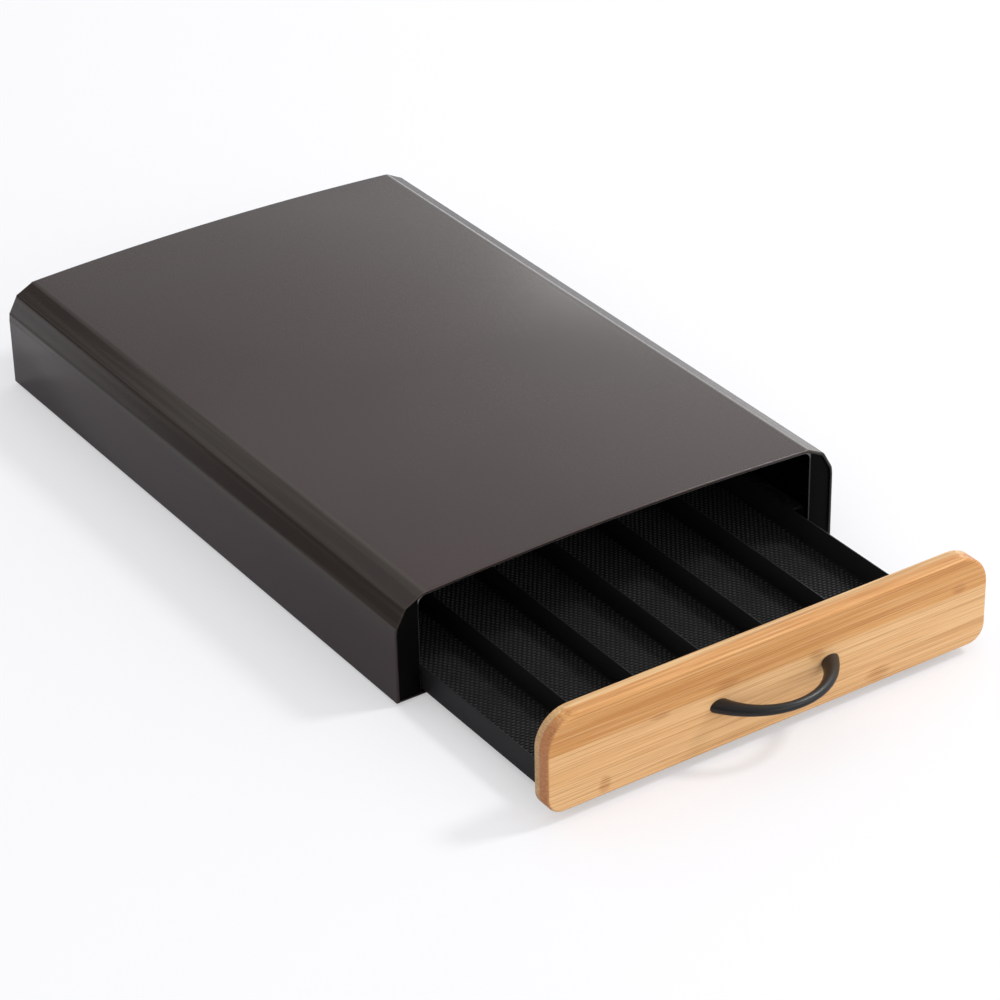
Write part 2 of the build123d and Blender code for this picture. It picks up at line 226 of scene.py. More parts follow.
# painted shade: the flange is the tray paint painted near black
flangeShadeCoat = dict(trayCoat, dark=paint(6, 6, 6), light=paint(9, 9, 9), glossy=0.55, dull=0.65, specular=0.06,
                  dust=0.03, edgeHighlight={"span": (0.12518, 0.12508), "colour": paint(118, 116, 116)})
handleCoat = {"dark": paint(20, 19, 19), "light": paint(26, 24, 24), "dustColour": paint(70, 66, 64), "dust": 0.06,
              "cloudScale": 30.0, "peelScale": 2200.0, "speckScale": 3600.0, "glossy": 0.34, "dull": 0.42,
              "peel": 0.08, "specular": 0.5}


def zincSteel(name, zinc):
    # rolled steel with a spangled zinc skin
    material, make = newFinish(name)
    where = make.place()
    crystals = {"Vector": where, "Scale": zinc["spangle"]}
    spangle = make.node("ShaderNodeTexVoronoi", {}, crystals, output="Color")
    shade = make.node("ShaderNodeSeparateColor", {}, {"Color": spangle})
    cloud = make.noise(where, zinc["cloudScale"], zinc["cloudDetail"])
    colour = make.tint(make.span(shade, 0.0, 1.0), zinc["dark"], zinc["light"])
    rough = make.span(cloud, *zinc["cloudSpan"], zinc["glossy"], zinc["dull"])
    make.surface(colour=colour, metallic=zinc["metallic"], roughness=rough,
                 normal=make.bump(cloud, zinc["relief"], zinc["reliefHeight"]))
    return material


# painted shade: the rails' zinc is painted far darker than the screws' zinc, to stand for the dark inside of the
# casing
shadedRailZinc = {"dark": paint(62, 64, 66), "light": paint(92, 94, 96), "spangle": 260.0, "metallic": 0.9,
            "glossy": 0.34, "dull": 0.5, "cloudScale": 40.0, "cloudDetail": 4.0, "cloudSpan": (0.3, 0.7),
            "relief": 0.08, "reliefHeight": 0.0003}
screwZinc = dict(shadedRailZinc, dark=paint(164, 166, 168), light=paint(196, 198, 200), spangle=900.0, metallic=1.0,
                 glossy=0.22, dull=0.36)

rubberGrain = {"cloudDetail": 3.0, "grainDetail": 2.0, "cloudSpan": (0.3, 0.7), "reliefHeight": 0.0003}


def mouldedRubber(name, rubber):
    material, make = newFinish(name)
    where = make.place()
    cloud = make.noise(where, rubber["cloudScale"], rubberGrain["cloudDetail"])
    grain = make.noise(where, rubber["grainScale"], rubberGrain["grainDetail"])
    colour = make.tint(make.span(cloud, *rubberGrain["cloudSpan"]), rubber["dark"], rubber["light"])
    rough = make.span(cloud, *rubberGrain["cloudSpan"], rubber["glossy"], rubber["dull"])
    if "gap" in rubber:
        # painted shade: the gaps between the studs are painted near black and left dull, while the studs' tops keep
        # the rubber's colour and gloss
        gap = rubber["gap"]
        catchLight = make.span(make.split(where)[2], *gap["heights"])
        colour = make.tint(catchLight, gap["colour"], colour)
        rough = rough * catchLight + (1 - catchLight) * gap["roughness"]
    make.surface(colour=colour, roughness=rough, specular=rubber["specular"],
                 normal=make.bump(grain, rubber["grain"], rubberGrain["reliefHeight"]))
    return material


footRubber = {"dark": paint(22, 22, 22), "light": paint(34, 33, 33), "cloudScale": 90.0, "grainScale": 2500.0,
              "grain": 0.3, "glossy": 0.6, "dull": 0.75, "specular": 0.35}
# painted shade: the gaps between the mat's studs are painted near black
matRubber = {"dark": paint(48, 48, 50), "light": paint(58, 58, 60), "cloudScale": 60.0, "grainScale": 2600.0,
             "grain": 0.2, "glossy": 0.30, "dull": 0.42, "specular": 0.5,
             "gap": {"colour": paint(9, 9, 10), "roughness": 0.85, "heights": (0.0050, 0.0054)}}
runnerNylon = {"dark": paint(214, 211, 202), "light": paint(228, 226, 218), "cloudScale": 50.0,
               "grainScale": 1800.0, "grain": 0.1, "glossy": 0.35, "dull": 0.45, "specular": 0.5}

# each noise of the bamboo is stretched along, through and up the board; then come its detail and roughness
bambooNoises = {"fine": ((14, 500, 2200), 4.0, 0.6), "broad": ((3.2, 120, 520), 3.0, 0.55),
                "bands": ((1.6, 30, 120), 2.0, 0.5), "pores": ((60, 900, 2600), 2.0, 0.7),
                "wave": ((9, 9, 9), 1.0, 0.55), "endGrain": ((900, 500, 2400), 2.0, 0.55)}
bambooSpans = {"paleBands": (0.35, 0.68), "honeyBands": (0.30, 0.66), "broadFibre": (0.50, 0.80, 0.0, 0.34),
               "fineFibre": (0.47, 0.66, 0.0, 0.50), "shine": (0.48, 0.34, 0.0, 0.34), "knot": (1.0, 0.0),
               "knotFibre": (0.36, 0.60, 0.15, 0.70), "endGrain": (0.35, 0.65), "side": (0.30, 0.75),
               "pores": (0.68, 0.80, 0.0, 0.30), "roughness": (0.3, 0.7, 0.44, 0.56)}
bambooForm = {"stripWave": 0.0020, "stripFray": 0.0060, "stripSoft": 0.0012, "knotFray": 0.006, "knotWave": 0.003,
              "lines": 0.16, "lineHeight": 0.0004, "pits": 0.12, "pitHeight": 0.0003, "specular": 0.4}
frontBoard = {
    "pale": paint(247, 199, 142), "paleWarm": paint(241, 187, 126), "honey": paint(233, 172, 106),
    "honeyDark": paint(216, 152, 86), "fibre": paint(176, 112, 58), "shine": paint(255, 222, 174),
    "knot": paint(184, 122, 66), "end": paint(211, 145, 94), "endDark": paint(186, 121, 74),
    "stripEdge": 0.0398,      # height of the joint between the honey strip and the pale one
    # the cane's nodes: where they are along and up the board, and how far they reach each way
    "knots": [(-0.1035, 0.0120, 0.0045, 0.0062), (0.0665, 0.0120, 0.0100, 0.0052), (0.0260, 0.0385, 0.0065, 0.0040),
              (-0.0700, 0.0385, 0.0080, 0.0024), (-0.0300, 0.0420, 0.0100, 0.0030), (0.1180, 0.0440, 0.0060, 0.0040)],
    "shift": (0.0, 0.0, 0.0),
}
backBoard = dict(frontBoard, **{
    "pale": paint(240, 204, 152), "paleWarm": paint(232, 188, 134), "honey": paint(236, 196, 142),
    "honeyDark": paint(222, 176, 120), "end": paint(222, 182, 134), "endDark": paint(196, 150, 102),
    "stripEdge": 0.0300, "shift": (1.7, 0.4, 2.3),
    "knots": [(-0.0850, 0.0200, 0.0060, 0.0050), (0.0500, 0.0450, 0.0080, 0.0050)],
})


def bamboo(name, board):
    material, make = newFinish(name)
    grain = {kind: make.noise(make.place(stretch, board["shift"]), 1.0, detail, roughness)
             for kind, (stretch, detail, roughness) in bambooNoises.items()}

    def spread(kind, value):
        return make.span(value, *bambooSpans[kind])

    along, height = make.split(make.place())[::2]
    wave = grain["wave"] - 0.5
    fray = grain["broad"] - 0.5
    # the honey strip on top, the pale one under it
    edge = height + wave * bambooForm["stripWave"] + fray * bambooForm["stripFray"]
    soft = bambooForm["stripSoft"]
    upper = make.span(edge, board["stripEdge"] - soft, board["stripEdge"] + soft)
    palePart = make.tint(spread("paleBands", grain["bands"]), board["pale"], board["paleWarm"])
    honeyPart = make.tint(spread("honeyBands", grain["bands"]), board["honey"], board["honeyDark"])
    colour = make.tint(upper, palePart, honeyPart)
    colour = make.tint(spread("broadFibre", grain["broad"]), colour, board["fibre"])
    colour = make.tint(spread("fineFibre", grain["fine"]), colour, board["fibre"])
    colour = make.tint(spread("shine", grain["fine"]), colour, board["shine"])
    # nodes of the cane: brown smudges across the fibres
    smudge = None
    for knotX, knotZ, reachX, reachZ in board["knots"]:
        across = (along + fray * bambooForm["knotFray"] - knotX) / reachX
        up = (height + wave * bambooForm["knotWave"] - knotZ) / reachZ
        mask = spread("knot", across * across + up * up)
        smudge = mask if smudge is None else make.maths("MAXIMUM", smudge, mask)
    colour = make.tint(smudge * spread("knotFibre", grain["fine"]), colour, board["knot"])
    # the cut ends of the fibres on the rounded sides
    sideways = make.maths("ABSOLUTE", make.split(make.node("ShaderNodeNewGeometry", output="Normal"))[0])
    endColour = make.tint(spread("endGrain", grain["endGrain"]), board["end"], board["endDark"])
    colour = make.tint(spread("side", sideways), colour, endColour)
    colour = make.tint(spread("pores", grain["pores"]), colour, board["endDark"])
    lines = make.bump(grain["fine"], bambooForm["lines"], bambooForm["lineHeight"])
    make.surface(colour=colour, roughness=spread("roughness", grain["fine"]), specular=bambooForm["specular"],
                 normal=make.bump(grain["pores"], bambooForm["pits"], bambooForm["pitHeight"], lines))
    return material


finishes = {
    "casing_steel": powderCoat("casingPaint", casingCoat),
    "tray_steel": powderCoat("trayPaint", trayCoat),
    "handle_black": powderCoat("handlePaint", handleCoat),
    # the rails get the zinc painted dark, as painted shade
    "galvanised_steel": zincSteel("shadedRailZinc", shadedRailZinc),
    "zinc_fasteners": zincSteel("screwZinc", screwZinc),
    "runner_plastic": mouldedRubber("runnerNylon", runnerNylon),
    "black_rubber": mouldedRubber("footRubber", footRubber),
    "lane_mat_rubber": mouldedRubber("matRubber", matRubber),
    "bamboo_honey": bamboo("bambooFront", frontBoard),
    "bamboo_pale": bamboo("bambooBack", backBoard),
}
for part in frame["record"]["subparts"]:
    slots = nodes[part["node"]].data.materials
    slots.clear()
    slots.append(finishes[part["material_slot"]])
flangeShadedPaint = powderCoat("flangeShadedPaint", flangeShadeCoat)
panPaint = powderCoat("panPaint", plainCoat)
print("finishes made:", len(finishes))

# how near two points are one, and how near a point is on a plane
nearness = {"weld": 1e-7, "plane": 1e-6}


def newObject(name, data):
    made = bpy.data.objects.new(name, data)
    bpy.context.scene.collection.objects.link(made)
    return made


def finishPiece(shape, name, slotName, body, stoodFor=(), crease=35, finish=None):
    bmesh.ops.remove_doubles(shape, verts=shape.verts, dist=nearness["weld"])
    mesh = bpy.data.meshes.new(name)
    shape.to_mesh(mesh)
    shape.free()
    mesh.shade_smooth()
    mesh.set_sharp_from_angle(angle=math.radians(crease))
    mesh.materials.append(finish or finishes[slotName])
    piece = newObject(name, mesh)
    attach(piece, body)
    if stoodFor:
        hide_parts(*stoodFor)
    return piece


def vertsOf(parts):
    return [part for part in parts if isinstance(part, bmesh.types.BMVert)]


def everything(shape):
    return shape.verts[:] + shape.edges[:] + shape.faces[:]


def drawOut(shape, line):
    # extrudes a line of edges on the spot and returns the new points and the new line
    made = bmesh.ops.extrude_edge_only(shape, edges=line)["geom"]
    ring = vertsOf(made)
    far = [part for part in made if isinstance(part, bmesh.types.BMEdge) and all(vert in ring for vert in part.verts)]
    return ring, far


def repeat(shape, parts, shift):
    made = bmesh.ops.duplicate(shape, geom=parts)["geom"]
    bmesh.ops.translate(shape, verts=vertsOf(made), vec=shift)


def roundEdges(shape, edges, radius, segments=3):
    bmesh.ops.bevel(shape, geom=edges, offset=radius, segments=segments, affect="EDGES", profile=0.5, material=-1)


def thicken(shape, thickness):
    bmesh.ops.recalc_face_normals(shape, faces=shape.faces)
    bmesh.ops.solidify(shape, geom=shape.faces[:] + shape.edges[:] + shape.verts[:], thickness=thickness)


def sharpEdges(shape, degrees=50):
    return [edge for edge in shape.edges if edge.is_manifold and edge.calc_face_angle(0) > math.radians(degrees)]


def closeLoops(shape):
    # fills what is left open and turns every face outwards
    bmesh.ops.holes_fill(shape, edges=[edge for edge in shape.edges if edge.is_boundary], sides=0)
    bmesh.ops.recalc_face_normals(shape, faces=shape.faces)


def softCopy(node, name, radius):
    # the node's own plate with its sharp edges eased
    slotName = next(part["material_slot"] for part in frame["record"]["subparts"] if part["node"] == node)
    body = next(body for body, members in frame["record"]["behaviour"]["bodies"].items() if node in members)
    shape = bmesh.new()
    shape.from_mesh(nodes[node].data)
    bmesh.ops.remove_doubles(shape, verts=shape.verts, dist=nearness["plane"])
    bmesh.ops.dissolve_limit(shape, angle_limit=math.radians(1), verts=shape.verts, edges=shape.edges)
    roundEdges(shape, sharpEdges(shape), radius, segments=2)
    return finishPiece(shape, name, slotName, body, [node])


# folds are degrees round the corner, and flatParts says into how many parts each flat is cut
casing = {"width": 0.280, "cornerRadius": 0.0205, "crownRise": 0.0034, "sheet": 0.0010, "gap": 0.0001,
          "cornerSteps": 14, "crownSteps": 80, "rimWidth": 0.0020, "rimDepth": 0.0009, "rimRoundness": 0.0008,
          "edge": 0.00025, "folds": (12, 46, 80), "flatParts": (2, 5, 6, 1), "foldRound": 0.0010,
          "foldAngles": (0.25, 0.9), "foldLength": 0.1, "shortest": 0.00075}
flatHalf = casing["width"] / 2 - casing["cornerRadius"]
crownRadius = (flatHalf ** 2 + casing["crownRise"] ** 2) / (2 * casing["crownRise"])
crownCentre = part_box("casing_shell")[1].z - crownRadius


def archLine(shape, half, inset, radius, bottom, y, folds=()):
    # one open line up the right side, round the corner, over the crown and down the left side;
    # with folds, the corner is not a round but flats that meet at those angles
    crown = crownRadius - inset
    cornerX = half - radius
    cornerZ = crownCentre + math.sqrt((crown - radius) ** 2 - cornerX ** 2)
    turn = math.atan2(cornerZ - crownCentre, cornerX)
    start = bmesh.ops.create_vert(shape, co=(half, y, bottom))["vert"][0]
    made = bmesh.ops.extrude_vert_indiv(shape, verts=[start])
    bmesh.ops.translate(shape, verts=made["verts"], vec=(0, 0, cornerZ - bottom))
    path = [start] + made["verts"]
    marks = [0] + [math.radians(fold) for fold in folds] + [turn]
    corner = [(turn, 0)]
    if folds:
        corner = [(to - since, parts) for since, to, parts in zip(marks, marks[1:], casing["flatParts"])]
    stages = [(cornerX, cornerZ, angle, parts) for angle, parts in corner] + [(0, crownCentre, math.pi - 2 * turn, 0)]
    stages += [(-cornerX, cornerZ, angle, parts) for angle, parts in reversed(corner)]
    for centreX, centreZ, angle, parts in stages:
        centre = Vector((centreX, y, centreZ))
        if parts:
            # a flat, cut up so that the corner has as many points as a round one
            chord = centre + Matrix.Rotation(angle, 3, (0, -1, 0)) @ (path[-1].co - centre) - path[-1].co
            for part in range(parts):
                made = bmesh.ops.extrude_vert_indiv(shape, verts=path[-1:])
                bmesh.ops.translate(shape, verts=made["verts"], vec=chord / parts)
                path += made["verts"]
            continue
        before = set(shape.verts)
        steps = casing["cornerSteps"] if centreX else casing["crownSteps"]
        bmesh.ops.spin(shape, geom=path[-1:], cent=centre, axis=(0, -1, 0), angle=angle, steps=steps)
        arc = [vert for vert in shape.verts if vert not in before]
        spun = path[-1]
        while arc:
            following = next(edge.other_vert(spun) for edge in spun.link_edges if edge.other_vert(spun) in arc)
            arc.remove(following)
            path.append(following)
            spun = following
    made = bmesh.ops.extrude_vert_indiv(shape, verts=[path[-1]])
    bmesh.ops.translate(shape, verts=made["verts"], vec=(0, 0, bottom - path[-1].co.z))
    path += made["verts"]
    return [next(edge for edge in one.link_edges if edge.other_vert(one) is two) for one, two in zip(path, path[1:])]


def contourLine(shape, inset, bottom, y):
    half = casing["width"] / 2 - inset
    return archLine(shape, half, inset, casing["cornerRadius"] - inset, bottom, y, casing["folds"])


def pull(shape, edges, distance):
    # draws a line of edges into a strip along y and returns the far line
    ring, far = drawOut(shape, edges)
    bmesh.ops.translate(shape, verts=ring, vec=(0, distance, 0))
    return far


# the wrapped sheet, with its front edge turned in to a thick rounded rim
shellLow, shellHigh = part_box("casing_shell")
shape = bmesh.new()
rimBack = shellLow.y + casing["rimDepth"]
outerFront = contourLine(shape, 0, shellLow.z, shellLow.y)
outerBack = pull(shape, outerFront, shellHigh.y - shellLow.y)
innerBack = contourLine(shape, casing["sheet"], shellLow.z, shellHigh.y)
innerFront = pull(shape, innerBack, rimBack - shellHigh.y)
rimInner = contourLine(shape, casing["rimWidth"], shellLow.z, rimBack)
rimFront = pull(shape, rimInner, shellLow.y - rimBack)
bmesh.ops.bridge_loops(shape, edges=outerBack + innerBack)
bmesh.ops.bridge_loops(shape, edges=innerFront + rimInner)
bmesh.ops.bridge_loops(shape, edges=outerFront + rimFront)
closeLoops(shape)
flattest, steepest = casing["foldAngles"]
folded = [edge for edge in shape.edges
          if flattest < edge.calc_face_angle(0) < steepest and edge.calc_length() > casing["foldLength"]]
roundEdges(shape, folded, casing["foldRound"], segments=3)
outerRim = [edge for edge in sharpEdges(shape)
            if all(abs(vert.co.y - shellLow.y) < nearness["plane"] for vert in edge.verts)]
roundEdges(shape, outerRim, casing["rimRoundness"], segments=4)
cutEdges = [edge for edge in sharpEdges(shape, degrees=60) if edge.calc_length() > casing["shortest"]]
roundEdges(shape, cutEdges, casing["edge"], segments=2)
casingSkin = finishPiece(shape, "casingSkin", "casing_steel", "casing", ["casing_shell"])
print("casing skin:", len(casingSkin.data.polygons), "faces")

pans = {"bend": 0.0011, "edge": 0.0002, "mouthHalf": 0.125, "mouthBand": 0.0026, "mouthRadius": 0.0050}


def pressedPan(name, node, slotName, outside, mouth=False, finish=None):
    # a plate with its rim turned in; outside is -1 where it faces the front and 1 where it faces the back
    low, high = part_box(node)
    inset = casing["sheet"] + casing["gap"]
    faceY, depth = (low.y, high.y - low.y) if outside < 0 else (high.y, low.y - high.y)
    shape = bmesh.new()
    outline = contourLine(shape, inset, low.z, faceY)
    if mouth:
        mouthLine = archLine(shape, pans["mouthHalf"], pans["mouthBand"], pans["mouthRadius"], low.z, faceY)
        bmesh.ops.bridge_loops(shape, edges=outline + mouthLine)
    else:
        ends = [vert for edge in outline for vert in edge.verts if len(vert.link_edges) == 1]
        closing = bmesh.ops.contextual_create(shape, geom=ends)["edges"]
        bmesh.ops.edgeloop_fill(shape, edges=outline + closing)
    pull(shape, outline, depth)
    roundEdges(shape, sharpEdges(shape, degrees=70), pans["bend"], segments=4)
    thicken(shape, casing["sheet"])
    roundEdges(shape, sharpEdges(shape, degrees=75), pans["edge"], segments=2)
    piece = finishPiece(shape, name, slotName, "casing", [node], finish=finish)
    print(name + ":", len(piece.data.polygons), "faces")


# the flange wears the near-black copy of the tray paint, as painted shade
pressedPan("frontFlange", "front_frame", "tray_steel", -1, mouth=True, finish=flangeShadedPaint)
pressedPan("backPan", "back_panel", "casing_steel", 1, finish=panPaint)

# the folded tray
tray = {"sheet": 0.0008, "bend": 0.0011, "edge": 0.00022, "lift": 0.00003}
trayLow = Vector((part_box("tray_left_wall")[0].x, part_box("tray_front_wall")[0].y,
                  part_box("tray_base")[0].z + tray["lift"]))
trayHigh = Vector((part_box("tray_right_wall")[1].x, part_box("tray_rear_wall")[1].y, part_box("tray_left_wall")[1].z))
traySize = trayHigh - trayLow
shape = bmesh.new()
bmesh.ops.create_grid(shape, x_segments=1, y_segments=1, size=0.5)
bmesh.ops.scale(shape, verts=shape.verts, vec=(traySize.x, traySize.y, 1))
bmesh.ops.translate(shape, verts=shape.verts, vec=trayLow + traySize * Vector((0.5, 0.5, 0)))
rim = drawOut(shape, shape.edges[:])[0]
bmesh.ops.translate(shape, verts=rim, vec=(0, 0, traySize.z))
roundEdges(shape, sharpEdges(shape, degrees=70), tray["bend"], segments=4)
thicken(shape, tray["sheet"])
roundEdges(shape, sharpEdges(shape, degrees=75), tray["edge"], segments=2)
trayShell = finishPiece(shape, "trayShell", "tray_steel", "drawer",
                        ["tray_base", "tray_front_wall", "tray_rear_wall", "tray_left_wall", "tray_right_wall"])
print("tray:", len(trayShell.data.polygons), "faces")

lanes = {"mats": 6, "blades": 5, "bladeEdge": 0.00022}
for lane in range(1, lanes["blades"] + 1):
    softCopy("lane_divider_%d" % lane, "laneBlade%d" % lane, lanes["bladeEdge"])

# the mats: one slab with rows of small lozenge bumps, laid in every lane
laneMat = {"slab": 0.0006, "slabEdge": 0.00015, "bumpLength": 0.0022, "bumpWidth": 0.0013, "sides": 6,
           "sunk": 0.00005, "capHeight": 0.00025, "shoulder": 0.90, "cap": 0.74,
           "pitchAcross": 0.0030, "pitchAlong": 0.0021, "margin": 0.0004}
matLow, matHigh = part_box("lane_mat_1")
matSize = matHigh - matLow
shape = bmesh.new()
bmesh.ops.create_circle(shape, segments=laneMat["sides"], radius=0.5, cap_ends=True)
bmesh.ops.rotate(shape, verts=shape.verts, matrix=Matrix.Rotation(math.pi / 2, 3, "Z"), cent=(0, 0, 0))
bmesh.ops.scale(shape, verts=shape.verts, vec=(laneMat["bumpLength"], laneMat["bumpWidth"], 1))
bmesh.ops.translate(shape, verts=shape.verts, vec=(0, 0, laneMat["slab"] - laneMat["sunk"]))
top = shape.edges[:]
shoulderRise = matSize.z - laneMat["slab"] + laneMat["sunk"] - laneMat["capHeight"]
for rise, narrow in ((shoulderRise, laneMat["shoulder"]), (laneMat["capHeight"], laneMat["cap"])):
    ring, top = drawOut(shape, top)
    bmesh.ops.translate(shape, verts=ring, vec=(0, 0, rise))
    bmesh.ops.scale(shape, verts=ring, vec=(narrow, narrow, 1))
bmesh.ops.edgeloop_fill(shape, edges=top)
bmesh.ops.recalc_face_normals(shape, faces=shape.faces)
# every other row is set over by half a pitch
columns = int((matSize.x - 2 * laneMat["margin"] - laneMat["bumpLength"]) / laneMat["pitchAcross"] - 0.5) + 1
rows = int((matSize.y - 2 * laneMat["margin"] - laneMat["bumpWidth"]) / laneMat["pitchAlong"]) + 1
firstX = -(columns - 0.5) * laneMat["pitchAcross"] / 2
bmesh.ops.translate(shape, verts=shape.verts, vec=(firstX, -(rows - 1) * laneMat["pitchAlong"] / 2, 0))
bump = everything(shape)
for column in range(1, columns):
    repeat(shape, bump, (column * laneMat["pitchAcross"], 0, 0))
firstRow = everything(shape)
for row in range(1, rows):
    repeat(shape, firstRow, ((row % 2) * laneMat["pitchAcross"] / 2, row * laneMat["pitchAlong"], 0))
slab = bmesh.ops.create_cube(shape, size=1)["verts"]
bmesh.ops.scale(shape, verts=slab, vec=(matSize.x, matSize.y, laneMat["slab"]))
bmesh.ops.translate(shape, verts=slab, vec=(0, 0, laneMat["slab"] / 2))
roundEdges(shape, list({edge for vert in slab for edge in vert.link_edges}), laneMat["slabEdge"], segments=2)
patternMesh = bpy.data.meshes.new("matPattern")
shape.to_mesh(patternMesh)
shape.free()
for lane in range(1, lanes["mats"] + 1):
    laneLow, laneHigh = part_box("lane_mat_%d" % lane)
    shape = bmesh.new()
    shape.from_mesh(patternMesh)
    middle = (laneLow + laneHigh) / 2
    bmesh.ops.translate(shape, verts=shape.verts, vec=(middle.x, middle.y, laneLow.z))
    laid = finishPiece(shape, "studdedMat%d" % lane, "lane_mat_rubber", "drawer", ["lane_mat_%d" % lane])
bpy.data.meshes.remove(patternMesh)
print("mats:", columns, "by", rows, "studs,", len(laid.data.polygons), "faces each")

# the bow handle: an oval bar drawn round one arc, swelling to its feet, cut off flat at the board
bow = {"spacing": 0.069, "reach": 0.0214, "grip": 0.0025, "footAcross": 0.0050, "footUp": 0.0039, "swell": 2.2,
       "overrun": 1.15, "sides": 32, "stations": 72, "footEdge": 0.0003}
bowLow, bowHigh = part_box("bow_handle")
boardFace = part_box("bamboo_front_ply")[0].y
bowZ = (bowLow.z + bowHigh.z) / 2
bowRadius = ((bow["spacing"] / 2) ** 2 + bow["reach"] ** 2) / (2 * bow["reach"])
bowCentre = Vector((0, boardFace - bow["reach"] + bowRadius, bowZ))
bowTurn = math.asin(bow["spacing"] / 2 / bowRadius)


def bowSizes(share):
    # half the bar's width and height, from -1 at one foot to 1 at the other
    swell = abs(share) ** bow["swell"]
    return [bow["grip"] + (bow[foot] - bow["grip"]) * swell for foot in ("footAcross", "footUp")]


shape = bmesh.new()
ring = bmesh.ops.create_circle(shape, segments=bow["sides"], radius=1)["verts"]
across, up = bowSizes(-bow["overrun"])
bmesh.ops.rotate(shape, verts=ring, matrix=Matrix.Rotation(math.pi / 2, 3, "Y"), cent=(0, 0, 0))
bmesh.ops.scale(shape, verts=ring, vec=(1, across, up))
bmesh.ops.translate(shape, verts=ring, vec=bowCentre - Vector((0, bowRadius, 0)))
endTurn = bow["overrun"] * bowTurn
bmesh.ops.rotate(shape, verts=ring, matrix=Matrix.Rotation(-endTurn, 3, "Z"), cent=bowCentre)
onward = Matrix.Rotation(2 * endTurn / bow["stations"], 3, "Z")
line = shape.edges[:]
for station in range(1, bow["stations"] + 1):
    share = bow["overrun"] * (2 * station / bow["stations"] - 1)
    newAcross, newUp = bowSizes(share)
    ring, line = drawOut(shape, line)
    bmesh.ops.rotate(shape, verts=ring, matrix=onward, cent=bowCentre)
    turn = Matrix.Rotation(share * bowTurn, 4, "Z")
    spot = Matrix.Translation(bowCentre + turn @ Vector((0, -bowRadius, 0))) @ turn
    bmesh.ops.scale(shape, verts=ring, vec=(1, newAcross / across, newUp / up), space=spot.inverted())
    across, up = newAcross, newUp
bmesh.ops.bisect_plane(shape, geom=everything(shape), plane_co=(0, boardFace, 0), plane_no=(0, 1, 0),
                       clear_outer=True)
closeLoops(shape)
roundEdges(shape, sharpEdges(shape, degrees=40), bow["footEdge"], segments=2)
bowGrip = finishPiece(shape, "bowGrip", "handle_black", "drawer", ["bow_handle"], crease=50)
print("handle:", len(bowGrip.data.polygons), "faces")

# screws with pan heads and a cross pressed into each; a ring is a share of the head's radius and of its height
screwForm = {"shankSides": 20, "headSides": 24, "rings": ((1.0, 0.42), (0.94, 0.30), (0.80, 0.20), (0.68, 0.08)),
             "crossDepth": 0.55, "firstTurn": 0.3, "nextTurn": 0.7}
screwKinds = {
    "panelScrews": {"node": "panel_screws", "count": 4, "head": 0.00325, "height": 0.0018, "shank": 0.0016,
                    "cross": 0.0017, "slit": 0.00035},
    "handleScrews": {"node": "handle_screws", "count": 2, "head": 0.0040, "height": 0.0024, "shank": 0.0020,
                     "cross": 0.0021, "slit": 0.00045},
}


def addScrew(shape, screw, spot, length, turn):
    # made upright at the origin, head up, then laid along y with its head to the back
    before = set(shape.verts)
    shank = bmesh.ops.create_cone(shape, segments=screwForm["shankSides"], radius1=screw["shank"],
                                  radius2=screw["shank"], cap_ends=True, depth=length)["verts"]
    bmesh.ops.translate(shape, verts=shank, vec=(0, 0, -length / 2))
    made = bmesh.ops.create_circle(shape, segments=screwForm["headSides"], radius=screw["head"])["verts"]
    under = list({edge for vert in made for edge in vert.link_edges})
    line = under
    for width, rise in screwForm["rings"]:
        ring, line = drawOut(shape, line)
        size = screw["head"] * width / ring[0].co.to_2d().length
        bmesh.ops.scale(shape, verts=ring, vec=(size, size, 1))
        bmesh.ops.translate(shape, verts=ring, vec=(0, 0, screw["height"] * rise))
    bmesh.ops.edgeloop_fill(shape, edges=under)
    face = bmesh.ops.create_grid(shape, x_segments=3, y_segments=3, size=screw["cross"])["verts"]
    for axis in (0, 1):
        inner = [vert for vert in face if abs(vert.co[axis]) < screw["cross"] / 2]
        squeeze = Vector((1, 1, 1))
        squeeze[axis] = screw["slit"] * 3 / screw["cross"]
        bmesh.ops.scale(shape, verts=inner, vec=squeeze)
    bmesh.ops.translate(shape, verts=face, vec=(0, 0, screw["height"]))
    cells = list({cell for vert in face for cell in vert.link_faces})
    rim = [edge for edge in {edge for cell in cells for edge in cell.edges} if edge.is_boundary]
    plus = [cell for cell in cells if min(abs(value) for value in cell.calc_center_median().xy) < screw["slit"] / 2]
    bmesh.ops.bridge_loops(shape, edges=rim + line)
    made = bmesh.ops.extrude_face_region(shape, geom=plus)["geom"]
    bmesh.ops.delete(shape, geom=plus, context="FACES")
    bmesh.ops.translate(shape, verts=vertsOf(made), vec=(0, 0, -screw["height"] * screwForm["crossDepth"]))
    fresh = [vert for vert in shape.verts if vert not in before]
    bmesh.ops.rotate(shape, verts=fresh, matrix=Matrix.Rotation(turn, 3, "Z"), cent=(0, 0, 0))
    bmesh.ops.rotate(shape, verts=fresh, matrix=Matrix.Rotation(-math.pi / 2, 3, "X"), cent=(0, 0, 0))
    bmesh.ops.translate(shape, verts=fresh, vec=spot)


for name, screw in screwKinds.items():
    low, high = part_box(screw["node"])
    firstX, spread = low.x + screw["head"], high.x - low.x - 2 * screw["head"]
    headY = high.y - screw["height"]
    shape = bmesh.new()
    for number in range(screw["count"]):
        spot = Vector((firstX + spread * number / (screw["count"] - 1), headY, (low.z + high.z) / 2))
        addScrew(shape, screw, spot, headY - low.y, screwForm["firstTurn"] + screwForm["nextTurn"] * number)
    bmesh.ops.recalc_face_normals(shape, faces=shape.faces)
    screws = finishPiece(shape, name, "zinc_fasteners", "drawer", [screw["node"]], crease=40)
    print(name + ":", len(screws.data.polygons), "faces")

